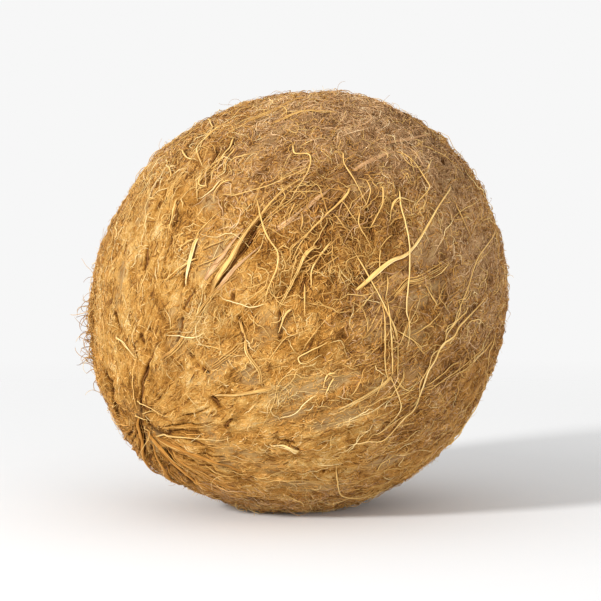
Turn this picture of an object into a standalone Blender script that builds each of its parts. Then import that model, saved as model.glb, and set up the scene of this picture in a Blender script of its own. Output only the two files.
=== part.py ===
"""A ripe de-husked coconut at its real size: one solid nut that lies on a small flat spot.

Metres, +Z up. The origin is the middle of the flat spot that the nut rests on. The nut is a
globe drawn out a little at both ends of its long axis. Its tip, where the fibres of the husk
run together, points left, down and to the front (-X, -Z, -Y). The other end carries three
shallow round eyes, one between each pair of the nut's three low lengthwise ridges.
"""

import math

import bmesh
import bpy
from mathutils import Matrix, Vector

# Size of the nut
GIRTH_RADIUS = 0.0585  # mean radius of the widest round section
TIP_RISE = 0.0053  # how far the tip stands out of the globe
TIP_SPREAD = math.radians(27.5)  # angle from the axis over which the tip fades out
EYE_END_RISE = 0.0044
EYE_END_SPREAD = math.radians(38.0)

# Departures from a round section, as shares of the radius, each with the bearing of its high side
OVAL_SHARE = 0.030
OVAL_BEARING = math.radians(-33.5)
RIDGE_COUNT = 3
RIDGE_SHARE = 0.009
RIDGE_BEARING = math.radians(78.0)

# The three eyes
EYE_ANGLE = math.radians(14.0)  # from the axis to the middle of an eye
EYE_RADIUS = 0.0062
EYE_DEPTH = 0.0016

# How the nut lies
TIP_BEARING = math.radians(207.7)  # in plan, anticlockwise from +X
TIP_DIP = math.radians(31.9)  # below the horizontal
REST_SINK = 0.0011  # height of the cap that the flat spot takes off the bottom

# Fineness of the mesh
MERIDIANS = 60
RINGS = 48

HUSK_COLOUR = (0.42, 0.24, 0.10, 1.0)
HUSK_ROUGHNESS = 0.9


def clear_scene():
    for old in list(bpy.data.objects):
        bpy.data.objects.remove(old)


def make_collection(name):
    group = bpy.data.collections.new(name)
    bpy.context.scene.collection.children.link(group)
    return group


def husk_material():
    """Dry brown coir, rough and without metal."""
    material = bpy.data.materials.new("coir")
    material.use_nodes = True
    shader = material.node_tree.nodes["Principled BSDF"]
    shader.inputs["Base Color"].default_value = HUSK_COLOUR
    shader.inputs["Roughness"].default_value = HUSK_ROUGHNESS
    shader.inputs["Metallic"].default_value = 0.0
    return material


def eye_directions():
    """Unit vectors from the middle of the nut to its eyes, in the nut's own axes."""
    turn = 2.0 * math.pi / RIDGE_COUNT
    for number in range(RIDGE_COUNT):
        bearing = RIDGE_BEARING + (number + 0.5) * turn
        yield Vector((
            math.sin(EYE_ANGLE) * math.cos(bearing),
            math.sin(EYE_ANGLE) * math.sin(bearing),
            -math.cos(EYE_ANGLE),
        ))


def nut_radius(way):
    """Distance from the middle to the surface along a unit vector, the tip being on +Z."""
    from_tip = way.angle(Vector((0.0, 0.0, 1.0)))
    bearing = math.atan2(way.y, way.x)
    girth_share = 1.0 - way.z * way.z
    oval = OVAL_SHARE * math.cos(2.0 * (bearing - OVAL_BEARING))
    ridges = RIDGE_SHARE * math.cos(RIDGE_COUNT * (bearing - RIDGE_BEARING))
    radius = GIRTH_RADIUS * (1.0 + girth_share * (oval + ridges))
    radius += TIP_RISE * math.exp(-((from_tip / TIP_SPREAD) ** 2))
    radius += EYE_END_RISE * math.exp(-(((math.pi - from_tip) / EYE_END_SPREAD) ** 2))
    for eye in eye_directions():
        reach = way.angle(eye) * radius / EYE_RADIUS
        radius -= EYE_DEPTH * math.exp(-(reach**2))
    return radius


def lying_rotation():
    """Turns the nut's own axes, with the tip on +Z, to the way that it lies."""
    tip = Vector((
        math.cos(TIP_DIP) * math.cos(TIP_BEARING),
        math.cos(TIP_DIP) * math.sin(TIP_BEARING),
        -math.sin(TIP_DIP),
    ))
    up = Vector((0.0, 0.0, 1.0))
    top_side = (up - tip * up.dot(tip)).normalized()
    return Matrix((top_side, tip.cross(top_side), tip)).transposed()


def cut_rest_spot(shape):
    """Takes the lowest cap off, closes the cut with a flat face and puts its middle at the origin.

    The rim of the flat face stays sharp.
    """
    rest_height = min(vert.co.z for vert in shape.verts) + REST_SINK
    cut = bmesh.ops.bisect_plane(
        shape,
        geom=shape.verts[:] + shape.edges[:] + shape.faces[:],
        dist=1e-7,
        plane_co=(0.0, 0.0, rest_height),
        plane_no=(0.0, 0.0, 1.0),
        clear_inner=True,
    )
    rim = [item for item in cut["geom_cut"] if isinstance(item, bmesh.types.BMEdge)]
    for edge in rim:
        edge.smooth = False
    spot = bmesh.ops.contextual_create(shape, geom=rim)["faces"][0]
    middle = spot.calc_center_median_weighted()
    bmesh.ops.translate(shape, verts=shape.verts, vec=-middle)


def make_coconut(group):
    shape = bmesh.new()
    bmesh.ops.create_uvsphere(shape, u_segments=MERIDIANS, v_segments=RINGS, radius=1.0)
    for vert in shape.verts:
        way = vert.co.normalized()
        vert.co = way * nut_radius(way)
    bmesh.ops.rotate(shape, verts=shape.verts, cent=(0.0, 0.0, 0.0), matrix=lying_rotation())
    cut_rest_spot(shape)
    bmesh.ops.recalc_face_normals(shape, faces=shape.faces)
    for face in shape.faces:
        face.smooth = True
    mesh = bpy.data.meshes.new("coconut")
    shape.to_mesh(mesh)
    shape.free()
    mesh.materials.append(husk_material())
    coconut = bpy.data.objects.new("coconut", mesh)
    group.objects.link(coconut)
    return coconut


def main():
    clear_scene()
    make_coconut(make_collection("de-husked coconut"))


main()
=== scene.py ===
"""Looks of a ripe de-husked coconut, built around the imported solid.

The nut is a felted skin with grain that runs from its tip to its eye end, matted all over with
coir: a mat of short curled fibres, tangles of brighter ones, longer fibres combed along the grain,
loose pale strands and a fine fuzz. Every fibre is a tapered tube. Lengths are in metres.
"""

import itertools
import math
from typing import NamedTuple

import bpy
import numpy as np
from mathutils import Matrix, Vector
from mathutils.bvhtree import BVHTree


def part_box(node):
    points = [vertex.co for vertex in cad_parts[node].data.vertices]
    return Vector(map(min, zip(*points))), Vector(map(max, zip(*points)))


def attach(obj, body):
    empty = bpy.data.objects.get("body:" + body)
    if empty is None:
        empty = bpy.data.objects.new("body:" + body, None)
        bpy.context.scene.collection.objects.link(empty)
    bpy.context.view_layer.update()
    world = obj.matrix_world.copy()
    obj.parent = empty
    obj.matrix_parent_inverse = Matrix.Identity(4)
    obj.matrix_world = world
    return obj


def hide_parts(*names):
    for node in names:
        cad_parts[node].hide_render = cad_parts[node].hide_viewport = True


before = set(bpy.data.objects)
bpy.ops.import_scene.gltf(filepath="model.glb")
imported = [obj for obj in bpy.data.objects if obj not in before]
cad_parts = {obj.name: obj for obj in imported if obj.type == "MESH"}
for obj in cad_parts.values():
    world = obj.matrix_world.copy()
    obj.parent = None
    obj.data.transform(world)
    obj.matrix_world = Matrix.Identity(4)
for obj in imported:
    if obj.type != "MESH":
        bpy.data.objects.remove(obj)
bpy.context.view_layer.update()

MM = 0.001
BOX_LOW, BOX_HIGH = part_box("coconut")
CENTRE = np.array((BOX_LOW + BOX_HIGH) / 2)
GIRTH = 58.5 * MM  # radius of the nut round its middle

# Where the solid's pointed end looks
SOLID_TIP_BEARING = math.radians(207.7)
SOLID_TIP_DIP = math.radians(31.9)

CAMERA_TURN = math.radians(-8.0)
CAMERA_RISE = math.radians(4.0)
CAMERA_REACH = 0.64
CAMERA_LENS = 135.0
SENSOR = 36.0

FLOOR_GAP = 0.05 * MM  # least height of anything above the floor
FLOOR_TONE = 0.78
FLOOR_FADE = (0.12, 0.45)  # from where to where the floor fades out, from its middle
SHOWN_GLOW = 0.93  # of the background as the camera sees it
LIT_GLOW = 0.80  # of the background as light

NET_ROWS, NET_COLUMNS = 421, 1401  # of the nets that the felt is looked up in
SHADE_TONE = 0.06  # of the painted shadows along strands and the painted shade at the bottoms of splits


# ---------------------------------------------------------------- smooth random numbers


class Grain:
    """Smooth random numbers from -1 to 1 over space."""

    CELLS = 64

    def __init__(self, seed):
        rng = np.random.default_rng(seed)
        self.values = rng.uniform(-1.0, 1.0, (self.CELLS,) * 3)

    def __call__(self, places):
        low = np.floor(places).astype(int)
        share = places - low
        share = share * share * (3.0 - 2.0 * share)
        total = np.zeros(places.shape[:-1])
        for corner in itertools.product((0, 1), repeat=3):
            cell = (low + corner) % self.CELLS
            weight = np.where(corner, share, 1.0 - share).prod(-1)
            total += weight * self.values[cell[..., 0], cell[..., 1], cell[..., 2]]
        return total


def rough(grain, places, octaves=3):
    """Several sizes of the same grain, added up."""
    return sum(grain(places * 2.03**i + 7.7 * i) / 2**i for i in range(octaves))


def smooth_step(low, high, x):
    share = np.clip((x - low) / (high - low), 0.0, 1.0)
    return share * share * (3.0 - 2.0 * share)


def unit(vectors):
    return vectors / np.linalg.norm(vectors, axis=-1, keepdims=True)


# ---------------------------------------------------------------- directions from the middle


def ways_about(axes, angle, bearing):
    """Unit vectors at an angle from the third axis and a bearing round it."""
    own = np.stack([np.sin(angle) * np.cos(bearing), np.sin(angle) * np.sin(bearing), np.cos(angle)], -1)
    return own @ axes


def angles_about(axes, ways):
    own = ways @ axes.T
    return np.arccos(np.clip(own[..., 2], -1.0, 1.0)), np.arctan2(own[..., 1], own[..., 0])


def axes_about(tip):
    """Rows: the side that faces up, the side across it, and the tip."""
    up = np.array([0.0, 0.0, 1.0])
    top_side = unit(up - tip * (up @ tip))
    return np.stack([top_side, np.cross(tip, top_side), tip])


class Net:
    """Values on a fine net of directions about some axes, to look up quickly."""

    def __init__(self, axes, rows, columns, values):
        angle, bearing = np.meshgrid(
            np.linspace(0.0, math.pi, rows), np.linspace(-math.pi, math.pi, columns), indexing="ij"
        )
        self.axes = axes
        self.table = values(ways_about(axes, angle, bearing))

    def __call__(self, ways):
        rows, columns = self.table.shape
        angle, bearing = angles_about(self.axes, ways)
        row = angle / math.pi * (rows - 1)
        column = (bearing + math.pi) / (2.0 * math.pi) * (columns - 1)
        top = np.clip(row.astype(int), 0, rows - 2)
        left = np.clip(column.astype(int), 0, columns - 2)
        down, across = row - top, column - left
        upper = self.table[top, left] * (1 - across) + self.table[top, left + 1] * across
        lower = self.table[top + 1, left] * (1 - across) + self.table[top + 1, left + 1] * across
        return upper * (1 - down) + lower * down


def solid_reach(ways):
    """How far the solid's surface lies from its middle."""
    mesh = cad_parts["coconut"].data
    tree = BVHTree.FromPolygons([v.co for v in mesh.vertices], [p.vertices for p in mesh.polygons])
    middle = Vector(CENTRE)
    reach = [(tree.ray_cast(middle, Vector(way))[3] or GIRTH) for way in ways.reshape(-1, 3)]
    return np.array(reach).reshape(ways.shape[:-1])


FORM = Net(np.eye(3), 181, 361, solid_reach)


def camera_frame():
    level = np.array([math.sin(CAMERA_TURN), -math.cos(CAMERA_TURN), 0.0])
    right = np.array([math.cos(CAMERA_TURN), math.sin(CAMERA_TURN), 0.0])
    back = level * math.cos(CAMERA_RISE) + np.array([0.0, 0.0, math.sin(CAMERA_RISE)])
    return back, right, np.cross(back, right)


def front(right_share, up_share):
    """The way to the place seen this far right of and above the middle, in shares of the girth radius."""
    back, right, up = camera_frame()
    rim = math.tan(math.asin(GIRTH / CAMERA_REACH))
    sight = unit(-back + rim * (right_share * right + up_share * up))
    eye = CAMERA_REACH * back
    nearest = -(eye @ sight)
    reach = GIRTH
    for _ in range(3):
        inside = max(nearest**2 - CAMERA_REACH**2 + reach**2, 0.0)
        way = unit(eye + sight * (nearest - math.sqrt(inside)))
        reach = float(FORM(way))
    return way


# The fibres all spring from one place, a little inside the pointed end of the outline
TIP = front(-0.775, -0.604)
AXES = axes_about(TIP)


def to_ways(angle, bearing):
    return ways_about(AXES, angle, bearing)


def from_ways(ways):
    return angles_about(AXES, ways)


def grain_ways(ways):
    """Unit vectors along the surface, away from the tip."""
    along = ways * (ways @ TIP)[..., None] - TIP
    return along / np.maximum(np.linalg.norm(along, axis=-1, keepdims=True), 1e-6)


def scatter(count, rng):
    """Even random directions over the whole nut."""
    return unit(rng.normal(size=(count, 3)))


def near(ways, place, size):
    """1 at a place, given as for front(), falling off over a size in shares of the radius."""
    apart = np.linalg.norm(ways - front(*place), axis=-1)
    return np.exp(-((apart / size) ** 2))


def patch(ways, right_share, up_share, along, across):
    """1 over a patch drawn out along the grain, 0 beyond it."""
    middle = front(right_share, up_share)
    lead = grain_ways(middle)
    apart = ways - middle
    run = (apart @ lead) / along
    side = (apart @ np.cross(middle, lead)) / across
    return np.exp(-((run**2 + side**2 + (apart @ middle) ** 2) ** 2))


# ---------------------------------------------------------------- the skin's form

LUMPS, BUNDLES, TUFTS, PATCHES = Grain(11), Grain(12), Grain(13), Grain(14)

EYE_ANGLE = math.radians(166.0)
EYE_BEARINGS = [math.radians(138.0 + 120.0 * i) for i in range(3)]
EYE_RADIUS = 5.5 * MM

# Splits in the felt on the near side: half width and depth in millimetres, then their course in
# shares of the radius right of and above the middle
SPLITS = (
    (0.40, 1.6, ((-0.74, -0.32), (-0.76, -0.40), (-0.77, -0.48), (-0.78, -0.55))),
    (0.60, 2.0, ((-0.94, -0.34), (-0.91, -0.40), (-0.90, -0.48), (-0.88, -0.55))),
    (0.60, 2.0, ((-0.79, -0.59), (-0.77, -0.66), (-0.75, -0.73))),
    (0.50, 1.8, ((-0.75, -0.58), (-0.69, -0.65))),
    (0.35, 1.4, ((-0.72, -0.74), (-0.69, -0.81))),
    (0.80, 2.2, ((-0.65, -0.84), (-0.62, -0.90))),
    (0.60, 2.0, ((-0.59, -0.82), (-0.54, -0.86), (-0.50, -0.89))),
    (0.35, 1.4, ((-0.47, -0.86), (-0.40, -0.90))),
    (0.30, 1.2, ((-0.52, -0.78), (-0.44, -0.80))),
    (0.70, 1.0, ((-0.76, -0.52), (-0.73, -0.53))),
    (0.35, 1.2, ((-0.54, -0.26), (-0.49, -0.32), (-0.45, -0.35))),
    (0.36, 1.4, ((-0.43, -0.47), (-0.41, -0.49), (-0.39, -0.52))),
    (0.28, 1.2, ((-0.33, -0.57), (-0.35, -0.59), (-0.36, -0.61))),
    (0.30, 1.0, ((-0.69, -0.65), (-0.57, -0.66), (-0.43, -0.71))),
    (0.35, 1.3, ((-0.70, -0.71), (-0.62, -0.73), (-0.52, -0.77))),
    (0.35, 1.3, ((-0.68, -0.77), (-0.60, -0.81))),
    (0.55, 1.4, ((0.69, 0.67), (0.70, 0.68))),
    # This split follows the shaded side of the wide sliver: its dark floor is the sliver's painted shadow
    (0.40, 1.3, ((-0.18, 0.40), (-0.27, 0.26), (-0.35, 0.15), (-0.40, 0.07))),
    (0.30, 1.0, ((-0.10, -0.05), (-0.10, -0.18))),
    (0.30, 1.0, ((0.02, 0.11), (0.00, 0.03))),
    (0.55, 1.9, ((-0.89, -0.06), (-0.88, -0.12))),
    (0.40, 1.5, ((-0.77, -0.17), (-0.76, -0.20))),
    (0.42, 1.6, ((-0.74, 0.26), (-0.74, 0.21), (-0.75, 0.15))),
    (0.34, 1.5, ((-0.565, 0.13), (-0.56, 0.10), (-0.565, 0.07))),
    (0.26, 1.0, ((-0.51, 0.05), (-0.54, 0.00), (-0.57, -0.04))),
    (0.26, 1.0, ((-0.33, 0.04), (-0.32, 0.00))),
    (0.28, 1.2, ((-0.575, -0.08), (-0.58, -0.14), (-0.60, -0.20))),
    (0.26, 1.1, ((-0.71, -0.25), (-0.74, -0.31))),
    (0.24, 1.0, ((-0.81, -0.21), (-0.79, -0.27))),
    (0.26, 1.0, ((-0.84, 0.27), (-0.86, 0.21))),
    (0.24, 1.0, ((-0.62, 0.30), (-0.64, 0.24))),
    (0.28, 1.1, ((-0.47, -0.02), (-0.48, -0.07))),
    (0.28, 1.1, ((-0.30, -0.08), (-0.28, -0.16), (-0.26, -0.24))),
    (0.24, 1.0, ((-0.59, 0.43), (-0.61, 0.37))),
    (0.45, 1.6, ((-0.54, 0.73), (-0.52, 0.77))),
    (0.30, 1.2, ((-0.40, 0.72), (-0.43, 0.66))),
    (0.30, 1.2, ((-0.67, 0.59), (-0.69, 0.55))),
    (0.30, 1.2, ((-0.44, 0.63), (-0.45, 0.58))),
    (0.28, 1.1, ((-0.68, 0.48), (-0.70, 0.44))),
    (0.28, 1.1, ((-0.33, 0.77), (-0.36, 0.72))),
    (0.18, 0.8, ((-0.03, -0.69), (-0.09, -0.675), (-0.13, -0.655))),
    (0.35, 1.1, ((0.13, 0.36), (0.08, 0.27))),
    (0.35, 1.1, ((0.33, 0.38), (0.35, 0.29))),
    (0.30, 1.0, ((0.20, 0.50), (0.15, 0.43))),
)


def bundle_places(ways, round_cells, along_cells):
    """Places in which a grain is drawn out from the tip to the eye end."""
    angle, bearing = from_ways(ways)
    round_cells = round_cells * smooth_step(-0.1, 0.7, np.minimum(angle, math.pi - angle))
    return np.stack([round_cells * np.cos(bearing), round_cells * np.sin(bearing), along_cells * angle], -1)


def make_clefts():
    """Gaps between the fibre bundles that meet at the tip: bearing, from, to, half width and depth."""
    rng = np.random.default_rng(21)
    clefts = []
    for number in range(40):
        bearing = 2.0 * math.pi * (number + rng.uniform(-0.5, 0.5)) / 40
        start = math.radians(rng.uniform(2.0, 14.0))
        end = start + math.radians(rng.uniform(5.0, 20.0))
        fan = near(to_ways(np.array((start + end) / 2), np.array(bearing)), (-0.60, -0.80), 0.30)
        half_width = rng.uniform(0.18, 0.45) * MM
        clefts.append((bearing, start, end, half_width, (0.25 + fan) * rng.uniform(0.6, 1.5) * MM))
    return clefts


def creep(start, heading, lengths, turns):
    """Directions along fibres that grow over the nut, turning a little at each step."""
    ways, lead = start.copy(), heading.copy()
    course = [ways]
    step = (lengths / turns.shape[1] / GIRTH)[:, None]
    for turn in turns.T[..., None]:
        side = np.cross(ways, lead)
        lead = lead * np.cos(turn) + side * np.sin(turn)
        ways = unit(ways + lead * step)
        lead = unit(lead - ways * (lead * ways).sum(-1, keepdims=True))
        course.append(ways)
    return np.stack(course, 1)


def spline(knots, count):
    """A smooth curve through the knots."""
    knots = np.array(knots)
    padded = np.concatenate([[2 * knots[0] - knots[1]], knots, [2 * knots[-1] - knots[-2]]])
    place = np.linspace(0.0, len(knots) - 1.0, count)
    first = np.minimum(place.astype(int), len(knots) - 2)
    t = (place - first)[:, None]
    a, b, c, d = (padded[first + i] for i in range(4))
    return 0.5 * (2 * b + (c - a) * t + (2 * a - 5 * b + 4 * c - d) * t**2 + (3 * b - a - 3 * c + d) * t**3)


def turned(ways, angle):
    """The grain direction, turned in the surface."""
    along = grain_ways(ways)
    side = np.cross(ways, along)
    return along * np.cos(angle)[:, None] + side * np.sin(angle)[:, None]


def kinks(rng, count, steps, bend, kink):
    """Turning angles: a steady bend for each fibre, and a random turn at each step."""
    steady = bend * rng.normal(size=(count, 1)) / steps
    return steady + kink * rng.normal(size=(count, steps)) / math.sqrt(steps)


def far_courses(count, lengths, steps, spread, kink, rng):
    """Courses near the grain on the far side, where nothing is placed by hand."""
    back, _, _ = camera_frame()
    ways = scatter(8 * count, rng)
    ways = ways[ways @ back < 0.05][:count]
    heading = turned(ways, spread * rng.normal(size=count))
    turns = kinks(rng, count, steps - 1, 0.3, kink)
    return creep(ways, heading, rng.uniform(*lengths, count) * MM, turns)


def make_splits():
    """The splits in the felt: half width and depth in millimetres, and course."""
    rng = np.random.default_rng(22)
    splits = [(half_width, deep, [front(*knot) for knot in course]) for half_width, deep, course in SPLITS]
    for course in far_courses(18, (2.5, 9.0), 4, 0.3, 0.3, rng):
        if course[0] @ TIP > -0.75:
            splits.append((rng.uniform(0.25, 0.40), rng.uniform(1.0, 1.8), list(course)))
    return splits


ALL_SPLITS = make_splits()
CLEFTS = make_clefts()


def cleft_depth(ways):
    """How deep the clefts round the tip and the splits in the felt are, in metres."""
    angle, bearing = from_ways(ways)
    bearing = bearing + 0.05 * BUNDLES(np.stack([9.0 * angle, 2.0 * bearing, 0 * angle], -1))
    depth = np.zeros(angle.shape)
    for place, start, end, half_width, deep in CLEFTS:
        apart = np.abs((bearing - place + math.pi) % (2.0 * math.pi) - math.pi) * np.sin(angle) * GIRTH
        run = smooth_step(start - 0.03, start + 0.04, angle) * smooth_step(end, end - 0.18, angle)
        depth = np.maximum(depth, deep * run * np.exp(-((apart / half_width) ** 2)))
    for half_width, deep, knots in ALL_SPLITS:
        close = ways @ knots[0] > math.cos(math.radians(25.0))
        beside = ways[close]
        for first, second in zip(knots, knots[1:]):
            span = second - first
            share = np.clip(((beside - first) @ span) / (span @ span), 0.0, 1.0)
            apart = np.linalg.norm(beside - first - share[..., None] * span, axis=-1) * GIRTH
            depth[close] = np.maximum(depth[close], deep * MM * np.exp(-((apart / (half_width * MM)) ** 2)))
    return depth


def eye_depth(ways):
    solid_tip = np.array([
        math.cos(SOLID_TIP_DIP) * math.cos(SOLID_TIP_BEARING),
        math.cos(SOLID_TIP_DIP) * math.sin(SOLID_TIP_BEARING),
        -math.sin(SOLID_TIP_DIP),
    ])
    depth = np.zeros(ways.shape[:-1])
    for bearing in EYE_BEARINGS:
        eye = ways_about(axes_about(solid_tip), np.array(EYE_ANGLE), np.array(bearing))
        depth += np.exp(-((np.linalg.norm(ways - eye, axis=-1) * GIRTH / EYE_RADIUS) ** 4))
    return depth


# Places where the felt is rubbed off: right, up, and half length and half width along the grain
BARE = (
    (0.37, -0.13, 0.08, 0.06),
    (0.00, -0.43, 0.15, 0.05),
    (0.18, -0.40, 0.12, 0.03),
    (-0.02, -0.54, 0.09, 0.05),
    (0.18, -0.58, 0.15, 0.04),
    (0.07, -0.90, 0.20, 0.05),
    (0.43, -0.78, 0.15, 0.04),
    (0.56, -0.17, 0.10, 0.04),
    (-0.24, -0.36, 0.06, 0.05),
    (-0.87, 0.08, 0.12, 0.05),
    (-0.52, 0.83, 0.12, 0.06),
    (-0.43, 0.22, 0.12, 0.05),
    (-0.45, 0.48, 0.06, 0.05),
    (-0.75, 0.45, 0.10, 0.05),
    (0.29, 0.55, 0.07, 0.04),
    (0.61, 0.04, 0.14, 0.05),
    (0.60, 0.24, 0.12, 0.06),
    (0.71, 0.55, 0.12, 0.05),
)


def bareness(ways):
    """Where the felt is rubbed off down to smooth grey-brown fibre, 0 to 1."""
    share = 0.55 * smooth_step(0.42, 0.75, rough(PATCHES, bundle_places(ways, 5.0, 2.4) + 4.0, 2))
    for row in BARE:
        share = np.maximum(share, patch(ways, *row))
    return np.clip(share * (0.9 + 0.9 * rough(TUFTS, bundle_places(ways, 26.0, 7.0), 2)), 0.0, 0.9)


def creases(ways):
    """Fine winding creases between the clumps of felt, 0 to 1."""
    winding = np.abs(rough(TUFTS, ways * 15.0 + 11.0, 3))
    return smooth_step(0.10, 0.0, winding) * smooth_step(-0.1, 0.5, rough(LUMPS, ways * 9.0, 2))


def relief(ways):
    """Height of the felt over the solid, in metres."""
    bare = bareness(ways)
    lumps = 0.45 * MM * rough(LUMPS, ways * 4.2)
    bundles = (0.30 * MM + 0.10 * MM * (1 - bare)) * rough(BUNDLES, bundle_places(ways, 15.0, 3.0), 2)
    tufts = (1 - bare) * (0.50 * MM * rough(TUFTS, ways * 24.0, 2) - 0.5 * MM * creases(ways))
    return lumps + bundles + tufts - 0.25 * MM * bare - cleft_depth(ways) - 1.3 * MM * eye_depth(ways)


def open_ground(ways):
    """1 where fibres lie on the felt, 0 over the splits and the eyes."""
    return 1.0 - smooth_step(0.15, 0.55, cleft_depth(ways) / MM + 0.8 * eye_depth(ways))


HEIGHT = Net(AXES, NET_ROWS, NET_COLUMNS, relief)
OPEN = Net(AXES, NET_ROWS, NET_COLUMNS, open_ground)


def surface(ways, height=0.0):
    """Points over the felt, never under the floor."""
    reach = FORM(ways) + HEIGHT(ways) + height
    points = CENTRE + ways * reach[..., None]
    points[..., 2] = np.maximum(points[..., 2], FLOOR_GAP)
    return points


# ---------------------------------------------------------------- materials


def link(tree, source, target):
    tree.links.new(source, target)


def node(tree, kind, values=(), **settings):
    made = tree.nodes.new(kind)
    for key, value in settings.items():
        setattr(made, key, value)
    for key, value in dict(values).items():
        made.inputs[key].default_value = value
    return made


def ramp(tree, source, stops):
    made = node(tree, "ShaderNodeValToRGB")
    elements = made.color_ramp.elements
    while len(elements) < len(stops):
        elements.new(0.5)
    for element, (place, colour) in zip(elements, stops):
        element.position = place
        element.color = (*colour, 1.0)
    link(tree, source, made.inputs["Fac"])
    return made.outputs["Color"]


def new_material(name, roughness, specular):
    material = bpy.data.materials.new(name)
    material.use_nodes = True
    shader = material.node_tree.nodes["Principled BSDF"]
    shader.inputs["Roughness"].default_value = roughness
    shader.inputs["Specular IOR Level"].default_value = specular
    return material, material.node_tree, shader


def noise(tree, source, scale, detail=4.0, roughness=0.6, distortion=0.0):
    made = node(
        tree,
        "ShaderNodeTexNoise",
        {"Scale": scale, "Detail": detail, "Roughness": roughness, "Distortion": distortion},
    )
    link(tree, source, made.inputs["Vector"])
    return made.outputs["Fac"]


def mapped(tree, source, low, high, to_low=0.0, to_high=1.0):
    made = node(
        tree,
        "ShaderNodeMapRange",
        {"From Min": low, "From Max": high, "To Min": to_low, "To Max": to_high},
    )
    link(tree, source, made.inputs["Value"])
    return made.outputs["Result"]


def maths(tree, operation, first, second=None):
    made = node(tree, "ShaderNodeMath", operation=operation)
    for socket, value in zip(made.inputs, (first, second)):
        if isinstance(value, (int, float)):
            socket.default_value = value
        elif value is not None:
            link(tree, value, socket)
    return made.outputs["Value"]


def total(tree, *terms):
    """The sum of (source, share) pairs."""
    result = maths(tree, "MULTIPLY", *terms[0])
    for source, share in terms[1:]:
        result = maths(tree, "ADD", result, maths(tree, "MULTIPLY", source, share))
    return result


def mixed(tree, share, first, second):
    made = node(tree, "ShaderNodeMix", data_type="RGBA")
    for name, value in (("Factor", share), ("A", first), ("B", second)):
        socket = next(s for s in made.inputs if s.name == name and s.enabled)
        link(tree, value, socket)
    return next(s for s in made.outputs if s.enabled)


def winding_lines(tree, source, scale, half_width):
    """Thin winding lines, 1 along their middles."""
    apart = maths(tree, "SUBTRACT", noise(tree, source, scale, 3.0, 0.55, 0.6), 0.5)
    apart = maths(tree, "ABSOLUTE", apart)
    return mapped(tree, apart, 0.0, half_width, 1.0, 0.0)


def attribute(tree, name):
    return node(tree, "ShaderNodeAttribute", attribute_name=name).outputs


def stretched(tree, source, *scales):
    made = node(tree, "ShaderNodeMapping", {"Scale": scales})
    link(tree, source, made.inputs["Vector"])
    return made.outputs["Vector"]


WARM_COIR = (
    (0.00, (0.125, 0.043, 0.007)),
    (0.25, (0.310, 0.128, 0.020)),
    (0.50, (0.575, 0.268, 0.052)),
    (0.75, (0.800, 0.465, 0.135)),
    (1.00, (0.930, 0.745, 0.390)),
)
DULL_COIR = (
    (0.00, (0.120, 0.050, 0.014)),
    (0.25, (0.285, 0.142, 0.055)),
    (0.50, (0.500, 0.283, 0.128)),
    (0.75, (0.730, 0.475, 0.242)),
    (1.00, (0.930, 0.735, 0.450)),
)
LOOSE_COIR = (
    (0.00, (0.110, 0.040, 0.008)),
    (0.25, (0.300, 0.130, 0.028)),
    (0.50, (0.530, 0.283, 0.074)),
    (0.75, (0.740, 0.475, 0.155)),
    (1.00, (0.930, 0.750, 0.385)),
)
BARE_COIR = (
    (0.00, (0.145, 0.082, 0.033)),
    (0.35, (0.255, 0.155, 0.063)),
    (0.65, (0.370, 0.235, 0.100)),
    (1.00, (0.570, 0.395, 0.190)),
)


def strand_material(name, colours):
    """Dry coir: each fibre has its own tone, is darker at its root and mottled along its length."""
    material, tree, shader = new_material(name, 0.6, 0.15)
    lay = node(tree, "ShaderNodeUVMap", uv_map="strand").outputs["UV"]
    parts = node(tree, "ShaderNodeSeparateXYZ")
    link(tree, lay, parts.inputs["Vector"])
    mottle = noise(tree, stretched(tree, lay, 90.0, 7.0, 1.0), 1.0, 3.0)
    shift = mapped(tree, mottle, 0.3, 0.7, -0.10, 0.10)
    root = mapped(tree, parts.outputs["Y"], 0.0, 0.22, -0.16, 0.0)
    tone = total(tree, (parts.outputs["X"], 1.0), (shift, 1.0), (root, 1.0))
    link(tree, ramp(tree, tone, colours), shader.inputs["Base Color"])
    return material


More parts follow.
